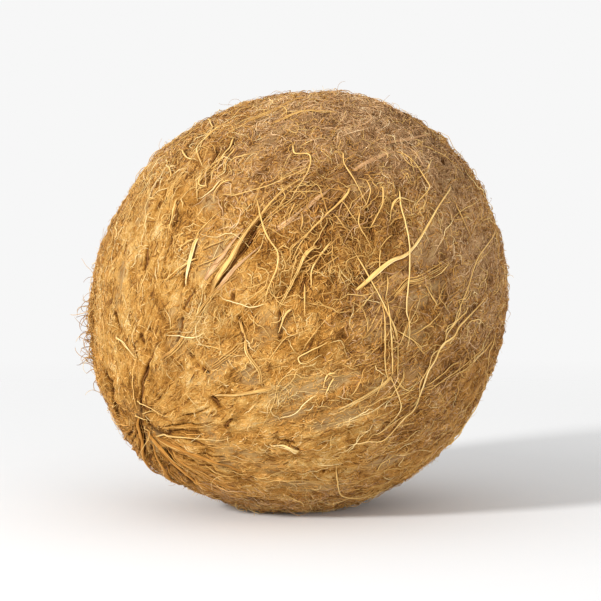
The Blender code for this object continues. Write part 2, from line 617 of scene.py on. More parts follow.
def felt_material():
    """Matted coir: streaks along the grain, a curly nap, painted shade in its hollows and creases, and duller
    rubbed patches.
    """
    material, tree, shader = new_material("coir_felt", 0.85, 0.08)
    lay, flat = (attribute(tree, name)["Vector"] for name in ("grain", "way"))
    dull, bare, hollow_shade, pale = (attribute(tree, name)["Fac"] for name in ("dull", "bare", "hollow_shade", "pale"))

    streaks = noise(tree, stretched(tree, lay, 55.0, 55.0, 9.0), 1.0, 5.0, 0.65, 0.5)
    lines = noise(tree, stretched(tree, lay, 120.0, 120.0, 5.0), 1.0, 3.0, 0.6)
    bands = noise(tree, stretched(tree, lay, 14.0, 14.0, 2.5), 1.0, 3.0, 0.55, 0.3)
    nap = noise(tree, flat, 80.0, 4.0, 0.7, 2.2)
    specks = noise(tree, flat, 190.0, 3.0, 0.7, 1.0)
    clouds = noise(tree, flat, 6.0, 3.0, 0.55)

    threads = winding_lines(tree, flat, 48.0, 0.035)
    # Winding cracks: sunk in the bump, and darkened in colour as painted shade of fine creases
    shaded_cracks = winding_lines(tree, stretched(tree, lay, 30.0, 30.0, 12.0), 1.0, 0.028)
    shaded_cracks = maths(tree, "MULTIPLY", shaded_cracks, mapped(tree, noise(tree, flat, 16.0, 2.0), 0.46, 0.60))

    tone = total(tree, (nap, 0.34), (streaks, 0.26), (bands, 0.12), (specks, 0.18), (clouds, 0.10))
    tone = total(
        tree,
        (mapped(tree, tone, 0.40, 0.62, 0.18, 0.72), 1.0),
        (pale, 1.0),
        (threads, 0.14),
        # the cracks darken the colour: painted crease shade
        (shaded_cracks, -0.40),
        # painted shade: darker wherever the felt sinks into clefts, splits, eye pits and creases
        (hollow_shade, -0.75),
    )
    smooth = total(tree, (lines, 0.55), (bands, 0.25), (clouds, 0.20))
    # the rubbed patches get the same painted shade in the hollows
    smooth = total(tree, (mapped(tree, smooth, 0.38, 0.62, 0.15, 0.85), 1.0), (hollow_shade, -0.6))
    coir = mixed(tree, dull, ramp(tree, tone, WARM_COIR), ramp(tree, tone, DULL_COIR))
    link(tree, mixed(tree, bare, coir, ramp(tree, smooth, BARE_COIR)), shader.inputs["Base Color"])
    link(tree, mapped(tree, nap, 0.3, 0.7, 0.95, 0.72), shader.inputs["Roughness"])

    matted = total(tree, (nap, 0.6), (streaks, 0.4), (specks, 0.3), (threads, 0.15), (shaded_cracks, -0.35))
    height = node(tree, "ShaderNodeMix", data_type="FLOAT")
    heights = (bare, matted, maths(tree, "MULTIPLY", lines, 0.35))
    for socket, value in zip((s for s in height.inputs if s.enabled), heights):
        link(tree, value, socket)
    bump = node(tree, "ShaderNodeBump", {"Strength": 1.0, "Distance": 1.1 * MM})
    link(tree, next(s for s in height.outputs if s.enabled), bump.inputs["Height"])
    link(tree, bump.outputs["Normal"], shader.inputs["Normal"])
    return material


# ---------------------------------------------------------------- meshes


def new_mesh(name, points, corners, counts, material):
    """A mesh from arrays: points, the corners of all faces in a row, and how many each face has."""
    mesh = bpy.data.meshes.new(name)
    mesh.vertices.add(len(points))
    mesh.vertices.foreach_set("co", np.ascontiguousarray(points, np.float32).ravel())
    mesh.loops.add(len(corners))
    mesh.loops.foreach_set("vertex_index", np.ascontiguousarray(corners, np.int32))
    mesh.polygons.add(len(counts))
    starts = np.concatenate([[0], np.cumsum(counts)[:-1]])
    mesh.polygons.foreach_set("loop_start", starts.astype(np.int32))
    mesh.update(calc_edges=True)
    mesh.validate()
    mesh.shade_smooth()
    mesh.materials.append(material)
    piece = bpy.data.objects.new(name, mesh)
    bpy.context.scene.collection.objects.link(piece)
    return piece


def add_piece(piece):
    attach(piece, "root")


def put_attribute(mesh, name, values):
    kind, field = ("FLOAT_VECTOR", "vector") if values.ndim == 2 else ("FLOAT", "value")
    made = mesh.attributes.new(name, kind, "POINT")
    made.data.foreach_set(field, np.ascontiguousarray(values, np.float32).ravel())


def wrapped_quads(rows, sides):
    """Quads between rings of points round a tube: the row, column and corners of each."""
    row, column = np.meshgrid(np.arange(rows - 1), np.arange(sides), indexing="ij")
    near_side, far_side = row * sides, (row + 1) * sides
    beside = (column + 1) % sides
    quads = np.stack([near_side + column, near_side + beside, far_side + beside, far_side + column], -1)
    return row, column, quads.reshape(-1, 4)


# Where the coir is greyer (or, below 0, more orange): right, up, size and change
GREYER = (
    (0.30, 0.90, 0.50, 0.80),
    (0.90, 0.15, 0.40, 0.55),
    (-0.75, 0.00, 0.50, -0.90),
    (-0.45, -0.35, 0.50, -0.60),
    (0.12, 0.15, 0.40, -0.45),
    (-0.05, 0.85, 0.40, 0.25),
    (0.60, 0.24, 0.20, 0.65),
    (0.42, 0.00, 0.15, 0.45),
    (-0.40, 0.10, 0.18, 0.55),
    (-0.50, 0.50, 0.25, 0.15),
    (-0.10, -0.80, 0.27, -0.65),
    (0.20, -0.60, 0.16, -0.50),
    (-0.40, -0.62, 0.18, -0.50),
)

# Where it is lighter or darker: right, up, size and change of tone
PALER = (
    (-0.85, 0.10, 0.50, 0.16),
    (-0.10, -0.95, 0.50, 0.14),
    (-0.25, 0.90, 0.40, 0.11),
    (0.95, 0.10, 0.35, 0.05),
    (0.28, 0.55, 0.35, -0.11),
    (0.15, 0.20, 0.28, -0.07),
    (-0.50, -0.10, 0.25, -0.05),
    (0.68, -0.40, 0.35, -0.12),
    (-0.65, -0.70, 0.25, -0.08),
    (0.10, -0.70, 0.35, 0.05),
    (0.45, 0.85, 0.35, 0.03),
    (0.05, -0.46, 0.18, 0.10),
    (-0.66, -0.48, 0.22, 0.08),
    (0.48, 0.18, 0.25, -0.05),
    (0.62, 0.45, 0.25, 0.10),
    (0.60, 0.20, 0.13, 0.07),
    (0.60, -0.20, 0.13, 0.07),
    (0.20, -0.20, 0.14, 0.06),
    (0.42, -0.48, 0.20, 0.05),
    (-0.20, -0.40, 0.15, 0.09),
    (-0.40, -0.18, 0.15, 0.09),
    (-0.20, 0.20, 0.16, 0.10),
    (0.00, 0.40, 0.13, 0.08),
    (0.02, 0.80, 0.25, -0.04),
)


def changed(ways, zones):
    """The sum of soft round zones: right, up, size and change."""
    return sum(change * near(ways, (right, up), size) for right, up, size, change in zones)


def dullness(ways):
    """How grey the coir is, 0 to 1: most on the upper right."""
    return np.clip(0.36 + 0.40 * rough(PATCHES, ways * 2.6, 2) + changed(ways, GREYER), 0.0, 1.0)


def paleness(ways):
    """How much lighter the coir is, as a change of tone: clumps of felt that stand out are lighter, a painted
    highlight on their tops and painted shade between them.
    """
    clouds = 0.10 * rough(PATCHES, ways * 7.0 + 3.0, 2)
    # painted highlight and shade: the grain that raises the tufts of felt makes them lighter on top and
    # darker between
    clumps = 0.17 * rough(TUFTS, ways * 24.0, 2) * (1.0 - bareness(ways))
    streaks = 0.07 * rough(BUNDLES, bundle_places(ways, 20.0, 4.0), 2)
    bands = 0.12 * near(ways, (0.25, -0.60), 0.55) * rough(LUMPS, bundle_places(ways, 12.0, 1.2), 2)
    return changed(ways, PALER) + clouds + clumps + streaks + bands


def make_skin():
    """The felted surface, as rings from the tip to the eye end."""
    rings, sides = 190, 500
    angle = np.linspace(0.0, math.pi, rings + 1)[1:-1]
    bearing = np.linspace(-math.pi, math.pi, sides, endpoint=False)
    ways = to_ways(*np.meshgrid(angle, bearing, indexing="ij")).reshape(-1, 3)
    ways = np.concatenate([ways, [TIP, -TIP]])
    quads = np.roll(wrapped_quads(rings - 1, sides)[2][:, ::-1], 1, axis=1)
    around = np.arange(sides)
    tip_at, eye_at = len(ways) - 2, len(ways) - 1
    last = (rings - 2) * sides
    caps = np.concatenate([
        np.stack([np.full(sides, tip_at), around, (around + 1) % sides], -1),
        np.stack([np.full(sides, eye_at), last + (around + 1) % sides, last + around], -1),
    ])
    corners = np.concatenate([quads.ravel(), caps.ravel()])
    counts = np.concatenate([np.full(len(quads), 4), np.full(len(caps), 3)])
    skin = new_mesh("coir_skin", surface(ways), corners, counts, felt_material())
    angles, bearings = from_ways(ways)
    bare = bareness(ways)
    # Painted shade: how much the felt's colour darkens in the clefts, splits, eye pits and creases
    hollow_shade = cleft_depth(ways) / MM + 0.65 * eye_depth(ways) + 0.45 * creases(ways) * (1 - bare)
    for name, values in (
        ("grain", np.stack([np.cos(bearings), np.sin(bearings), angles], -1)),
        ("way", ways),
        ("dull", dullness(ways)),
        ("bare", bare),
        ("pale", paleness(ways)),
        ("hollow_shade", np.clip(hollow_shade, 0.0, 1.0)),
    ):
        put_attribute(skin.data, name, values)
    add_piece(skin)
    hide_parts("coconut")


# ---------------------------------------------------------------- fibres


def wander(starts, leads, lengths, steps, curl, rng):
    """Points along hairs that leave the nut and curl through the air, and a side way for each."""
    lead = unit(leads)
    axis = unit(rng.normal(size=leads.shape))
    side = unit(np.cross(lead, axis))
    points, sides = [starts], [side]
    for _ in range(steps - 1):
        axis = unit(axis + 0.3 * rng.normal(size=axis.shape))
        lead = unit(lead + curl * np.cross(axis, lead))
        side = unit(side - lead * (side * lead).sum(-1, keepdims=True))
        points.append(points[-1] + lead * (lengths / (steps - 1))[:, None])
        sides.append(side)
    return np.stack(points, 1), np.stack(sides, 1)


def tube_mesh(name, lines, out, half_width, half_depth, tone, sides, material):
    """One mesh of tapered tubes: lines is fibres x points x 3, with a point at each far end."""
    fibres, steps = lines.shape[:2]
    along = unit(np.gradient(lines, axis=1))
    side = unit(np.cross(along, out))
    above = np.cross(side, along)
    turn = 2.0 * math.pi * (np.arange(sides) + 0.25) / sides
    ring = (
        lines[:, :-1, None]
        + side[:, :-1, None] * (half_width[:, :-1, None] * np.cos(turn))[..., None]
        + above[:, :-1, None] * (half_depth[:, :-1, None] * np.sin(turn))[..., None]
    )
    points = np.concatenate([ring.reshape(fibres, -1, 3), lines[:, -1:]], 1)
    points[..., 2] = np.maximum(points[..., 2], FLOOR_GAP)
    per_fibre = points.shape[1]
    row, column, quads = wrapped_quads(steps - 1, sides)
    spot = np.arange(sides)
    last = (steps - 2) * sides
    tips = np.stack([last + spot, last + (spot + 1) % sides, np.full(sides, per_fibre - 1)], -1)
    pattern = np.concatenate([quads.ravel(), tips.ravel()])
    counts = np.concatenate([np.full(len(quads), 4), np.full(len(tips), 3)])
    corners = (np.arange(fibres)[:, None] * per_fibre + pattern).ravel()
    piece = new_mesh(name, points.reshape(-1, 3), corners, np.tile(counts, fibres), material)

    strip = 0.012  # how wide each fibre's own strip of the layout is
    across = strip * np.stack([column, column + 1, column + 1, column], -1).reshape(-1, 4) / sides
    down = np.stack([row, row, row + 1, row + 1], -1).reshape(-1, 4) / (steps - 1)
    tip_across = strip * np.stack([spot, spot + 1, spot + 0.5], -1) / sides
    tip_down = np.tile([(steps - 2) / (steps - 1), (steps - 2) / (steps - 1), 1.0], (sides, 1))
    u = np.concatenate([across.ravel(), tip_across.ravel()])
    v = np.concatenate([down.ravel(), tip_down.ravel()])
    uv = np.empty((fibres, len(u), 2))
    uv[..., 0] = 0.01 + 0.96 * np.clip(tone, 0.0, 1.0)[:, None] + u
    uv[..., 1] = 0.01 + 0.98 * v
    for layer_name in ("strand", "OFBake"):
        layer = piece.data.uv_layers.new(name=layer_name)
        layer.uv.foreach_set("vector", uv.astype(np.float32).ravel())
    add_piece(piece)


def frizz(ways):
    """How tangled the coir is, 0 combed to 1 wild."""
    wild = 0.50 + 0.4 * rough(TUFTS, ways * 3.0 + 5.0, 2)
    wild = wild + 0.45 * near(ways, (0.2, 0.5), 0.5) + 0.2 * near(ways, (0.1, 0.1), 0.4)
    angle, _ = from_ways(ways)
    wild = wild * smooth_step(math.radians(10.0), math.radians(45.0), angle)
    wild = wild * (1.0 - 0.5 * near(ways, (-0.85, 0.0), 0.4)) * (1.0 - 0.5 * near(ways, (0.3, -0.8), 0.4))
    return np.clip(wild, 0.0, 1.0)


# Where the coir is matted into smooth felt: right, up, and size
MATTED = (
    (-0.90, -0.25, 0.30),
    (-0.68, -0.40, 0.28),
    (-0.52, -0.55, 0.20),
    (-0.22, -0.50, 0.24),
    (-0.05, -0.20, 0.16),
    (-0.72, 0.12, 0.16),
    (0.15, -0.22, 0.14),
    (0.15, -0.74, 0.24),
    (-0.35, -0.76, 0.20),
    (-0.60, 0.55, 0.13),
    (-0.76, 0.32, 0.18),
    (-0.45, 0.52, 0.12),
    (0.86, -0.36, 0.22),
    (0.58, -0.76, 0.22),
    (0.85, 0.35, 0.16),
)


def matted(ways):
    """Where the coir is matted into smooth felt, 0 to 1."""
    share = 0.9 * smooth_step(0.2, 0.7, rough(PATCHES, ways * 3.5 + 20.0, 2))
    for right_share, up_share, size in MATTED:
        share = np.maximum(share, near(ways, (right_share, up_share), size))
    return share


def smoothed(ways):
    """Where the coir lies along the grain, low on the near side, 0 to 1."""
    return np.maximum(near(ways, (0.05, -0.62), 0.42), near(ways, (-0.40, -0.85), 0.30))


def swirl(ways):
    """How far the felt round the tip strays from the grain, 0 to 1: not at all in the fan."""
    angle, _ = from_ways(ways)
    fan = near(ways, (-0.58, -0.78), 0.28)
    return smooth_step(math.radians(30.0), math.radians(12.0), angle) * (1.0 - fan)


class Look(NamedTuple):
    """How a kind of fibre lies: sizes in millimetres, angles in radians."""

    length: tuple
    width: tuple
    lift: tuple  # how high they arch over the felt
    tone: tuple  # its middle, and how much it varies
    bend: float  # how far each turns evenly along its length
    kink: float  # how far each turns at random
    spread: float  # how far they stray from the grain
    wild: float = 1.0  # how much more they stray where the coir is tangled
    flip: float = 0.5  # the share that run back towards the tip
    sunk: float = 0.05  # how deep their ends are in the felt
    bridging: float = 0.5  # how open the felt has to be under them
    thinned: float = 0.0  # the share that is missing where the felt is matted


def lay_fibres(name, rng, ways, look, material, steps=5, sides=3, darker=0.0):
    """A piece of fibres that lie on the felt, from their starts and how they look."""
    count = len(ways)
    fuzzy = frizz(ways)
    flat = matted(ways)
    spread = (look.spread + look.wild * (0.8 * fuzzy + 0.7 * swirl(ways))) * (1.0 - 0.7 * smoothed(ways))
    swing = 0.45 * LUMPS(ways * 7.0 + 9.0) * (0.3 + fuzzy) + 0.55 * near(ways, (0.05, 0.15), 0.45)
    flip = np.where(rng.uniform(size=count) < look.flip, math.pi, 0.0)
    heading = turned(ways, rng.normal(size=count) * spread + swing * look.wild + flip)
    lengths = rng.uniform(*look.length, count) * MM
    loose = (0.3 + fuzzy)[:, None]
    course = creep(ways, heading, lengths, kinks(rng, count, steps - 1, look.bend * loose, look.kink * loose))
    place = np.linspace(0.0, 1.0, steps)
    peak = (rng.uniform(*look.lift, count) * (1.0 - 0.5 * flat))[:, None] * MM
    arch = (np.sin(math.pi * place**0.8) + place * rng.uniform(0.0, 0.9, (count, 1))) * peak
    lines = surface(course, arch - look.sunk * MM)
    half = rng.uniform(*look.width, count)[:, None] * MM / 2
    profile = np.interp(place, [0.0, 0.35, 1.0], [0.8, 1.0, 0.35])[None, :]
    middle, change = look.tone
    # paleness() brings in the painted highlight on raised clumps of felt
    tone = middle - darker + change * rng.normal(size=count) * (1.0 - 0.2 * flat) + paleness(ways)
    kept = (OPEN(course[:, ::2]) > look.bridging).all(1)
    half = (half * profile)[kept]
    tone = np.minimum(tone, 0.92)[kept]
    tube_mesh(name, lines[kept], course[kept], half, half * 0.8, tone, sides, material)


def lay_tinted(name, rng, ways, look, warm, dull, **shape):
    """Fibres that are greyer where the coir is duller."""
    grey = rng.uniform(size=len(ways)) < 0.6 * dullness(ways)
    for tint, chosen, material, darker in (("warm", ~grey, warm, 0.0), ("dull", grey, dull, 0.09)):
        lay_fibres(f"{name}_{tint}", rng, ways[chosen], look, material, darker=darker, **shape)


CHIPS = Look((0.8, 2.6), (0.16, 0.34), (0.0, 0.24), (0.48, 0.14), 0.8, 0.5, 0.75, sunk=0.06, thinned=0.4)
SHORT = Look((2.0, 5.0), (0.16, 0.28), (0.05, 0.50), (0.52, 0.14), 0.7, 1.0, 0.5, thinned=0.8)
# Painted shade: very dark short fibres laid flush, standing for the shadowed gaps in the mat
SHADE_FLECKS = Look((0.8, 3.2), (0.20, 0.36), (0.05, 0.25), (0.10, 0.08), 0.6, 0.4, 0.3, sunk=0.0)
CURLS = Look((2.5, 8.0), (0.14, 0.27), (0.2, 1.0), (0.63, 0.16), 0.7, 1.4, 0.3)
MEDIUM = Look((6.0, 16.0), (0.18, 0.36), (0.3, 1.1), (0.64, 0.14), 0.6, 1.2, 0.25, wild=0.5)
COMBED = Look((10.0, 30.0), (0.18, 0.34), (0.05, 0.35), (0.57, 0.13), 0.3, 0.5, 0.07, wild=0.25, flip=0.0)
FAN = Look(
    (6.0, 22.0), (0.16, 0.36), (0.2, 0.9), (0.46, 0.15), 0.3, 0.35, 0.10, wild=0.15, flip=0.0, bridging=0.35
)
FRAYED = Look((2.0, 6.0), (0.10, 0.18), (0.2, 0.9), (0.56, 0.16), 1.0, 1.4, 0.8)
TANGLE = Look((3.0, 8.0), (0.16, 0.30), (0.3, 1.3), (0.65, 0.13), 1.1, 1.6, 1.0)
CROSSED = Look((5.0, 14.0), (0.18, 0.36), (0.5, 1.3), (0.63, 0.12), 0.5, 0.8, 0.45, wild=0.0, bridging=0.0)

# Where bright curls tangle: right, up, size and how many
TANGLES = (
    (-0.48, 0.77, 0.08, 28),
    (-0.42, 0.62, 0.07, 18),
    (-0.62, 0.50, 0.10, 18),
    (-0.75, 0.30, 0.12, 16),
    (-0.65, 0.62, 0.10, 14),
    (0.42, 0.45, 0.07, 30),
    (0.24, 0.52, 0.07, 14),
    (0.09, 0.40, 0.08, 10),
    (-0.05, 0.15, 0.12, 12),
    (0.20, 0.10, 0.12, 12),
    (0.45, -0.11, 0.09, 14),
    (0.80, -0.23, 0.08, 18),
    (0.14, 0.75, 0.12, 14),
    (0.49, 0.65, 0.10, 6),
    (-0.26, -0.16, 0.12, 12),
    (-0.16, -0.56, 0.10, 4),
    (0.34, -0.63, 0.10, 10),
)

# Where short fine fibres are frayed loose: right, up, size and how many
FRAYS = (
    (-0.45, -0.06, 0.09, 150),
    (-0.53, -0.17, 0.07, 90),
    (-0.63, -0.30, 0.06, 70),
    (-0.10, -0.46, 0.07, 60),
    (0.20, 0.30, 0.25, 320),
    (0.40, 0.55, 0.20, 240),
    (0.05, 0.70, 0.20, 220),
)

# Where longer strands cross: right, up, size and how many
CROSSINGS = (
    (0.03, 0.20, 0.12, 14),
    (0.18, 0.36, 0.12, 14),
    (0.33, 0.45, 0.10, 12),
    (-0.08, 0.08, 0.12, 10),
    (0.45, -0.15, 0.09, 6),
    (0.50, -0.40, 0.10, 5),
    (0.65, 0.00, 0.12, 6),
)


def lay_mat(warm, dull):
    """The mat of short curled fibres, thin where the felt is rubbed off, with short dark fibres laid flush
    between them as painted shade in its gaps.
    """
    for name, look, pieces, count, steps in (("chips", CHIPS, 6, 12000, 4), ("short", SHORT, 2, 8500, 6)):
        for number in range(pieces):
            for tint, material in (("warm", warm), ("dull", dull)):
                rng = np.random.default_rng(100 + 10 * steps + number)
                ways = scatter(count, rng)
                odds = (1.0 - 0.75 * bareness(ways)) * (1.0 - look.thinned * matted(ways))
                share = dullness(ways)
                odds = odds * (share if tint == "dull" else 1.0 - share)
                ways = ways[rng.uniform(size=len(ways)) < odds]
                lay_fibres(f"{name}_{tint}_{number}", rng, ways, look, material, steps=steps)
    # Painted shade: very dark short fibres flush on the felt, with more of them round three places
    rng = np.random.default_rng(130)
    ways = scatter(10500, rng)
    more = gathered(((0.12, 0.30, 0.34, 650), (-0.60, 0.45, 0.30, 260), (-0.80, 0.00, 0.35, 420)), rng)
    ways = np.concatenate([ways, more])
    ways = ways[rng.uniform(size=len(ways)) < (1.0 - 0.9 * bareness(ways)) * (1.0 - 0.6 * matted(ways))]
    lay_fibres("shade_flecks", rng, ways, SHADE_FLECKS, warm, steps=4)


def lay_curls(loose, dull):
    rng = np.random.default_rng(140)
    ways = scatter(6800, rng)
    odds = (0.25 + 0.6 * frizz(ways)) * (1.0 - 0.7 * bareness(ways)) * (1.0 - 0.85 * matted(ways))
    ways = ways[rng.uniform(size=len(ways)) < odds]
    lay_tinted("curls", rng, ways, CURLS, loose, dull, steps=8)


def lay_medium(loose, dull):
    """Loosened fibres of middling length, most where the coir is tangled, and those that cross them."""
    rng = np.random.default_rng(145)
    ways = scatter(1100, rng)
    odds = (0.15 + 0.8 * frizz(ways)) * (1.0 - 0.8 * matted(ways))
    odds = odds * (1.0 - 0.6 * near(ways, (0.45, 0.75), 0.45))
    ways = ways[rng.uniform(size=len(ways)) < odds]
    lay_tinted("medium", rng, ways, MEDIUM, loose, dull, steps=14, sides=4)
    lay_tinted("crossed", rng, gathered(CROSSINGS, rng), CROSSED, loose, dull, steps=14, sides=4)


def lay_combed(loose, warm, dull):
    """Longer fibres along the grain, and the stiff fan that springs from the tip."""
    rng = np.random.default_rng(150)
    ways = scatter(1400, rng)
    angle, _ = from_ways(ways)
    ways = ways[rng.uniform(size=len(ways)) < (1.1 - frizz(ways)) * smooth_step(0.45, 0.9, angle)]
    lay_tinted("combed", rng, ways, COMBED, loose, dull, steps=14, sides=4)
    count = 620
    angle = np.radians(rng.uniform(3.0, 20.0, count))
    ways = to_ways(angle, rng.uniform(-math.pi, math.pi, count))
    ways = ways[rng.uniform(size=count) < near(ways, (-0.58, -0.82), 0.19)]
    lay_tinted("fan", rng, ways, FAN, warm, dull, steps=14, sides=4)


def gathered(places, rng):
    """Random directions round some places: right, up, size and how many."""
    return np.concatenate([
        unit(front(right, up) + 0.7 * size * rng.normal(size=(count, 3))) for right, up, size, count in places
    ])


def lay_tangles(loose, dull):
    rng = np.random.default_rng(160)
    lay_tinted("tangles", rng, gathered(TANGLES, rng), TANGLE, loose, dull, steps=12, sides=4)
    lay_tinted("frays", rng, gathered(FRAYS, rng), FRAYED, loose, dull, steps=7)


def raise_fuzz(loose):
    """Fine hairs that stand off the felt, and a few long strays."""
    rng = np.random.default_rng(170)
    for name, count, length, width, curl, steps in (
        ("fuzz_0", 7000, (0.5, 1.9), (0.07, 0.14), 0.45, 5),
        ("fuzz_1", 7000, (0.5, 1.9), (0.07, 0.14), 0.55, 5),
        ("strays", 180, (3.0, 8.0), (0.10, 0.18), 0.30, 12),
    ):
        ways = scatter(count, rng)
        add_hairs(name, rng, ways, ways, length, width, curl, steps, 0.64, loose)
    tuft = unit(front(-1.0, -0.12) + 0.11 * rng.normal(size=(120, 3)) * [0.2, 0.2, 1.0])
    leads = 1.6 * tuft + np.array([0.0, 0.0, 0.7])
    add_hairs("left_tuft", rng, tuft, leads, (2.5, 8.0), (0.18, 0.30), 0.30, 12, 0.50, loose)


def add_hairs(name, rng, ways, leads, length, width, curl, steps, tone, material):
    """A piece of hairs that stand off the felt, from their starts and the ways they set off in."""
    count = len(ways)
    lines, sides = wander(
        surface(ways),
        leads + 0.8 * rng.normal(size=ways.shape),
        rng.uniform(*length, count) * MM,
        steps,
        curl,
        rng,
    )
    half = rng.uniform(*width, count)[:, None] * MM / 2 * np.linspace(1.0, 0.45, steps)
    tube_mesh(name, lines, sides, half, half, rng.normal(tone, 0.15, count), 3, material)


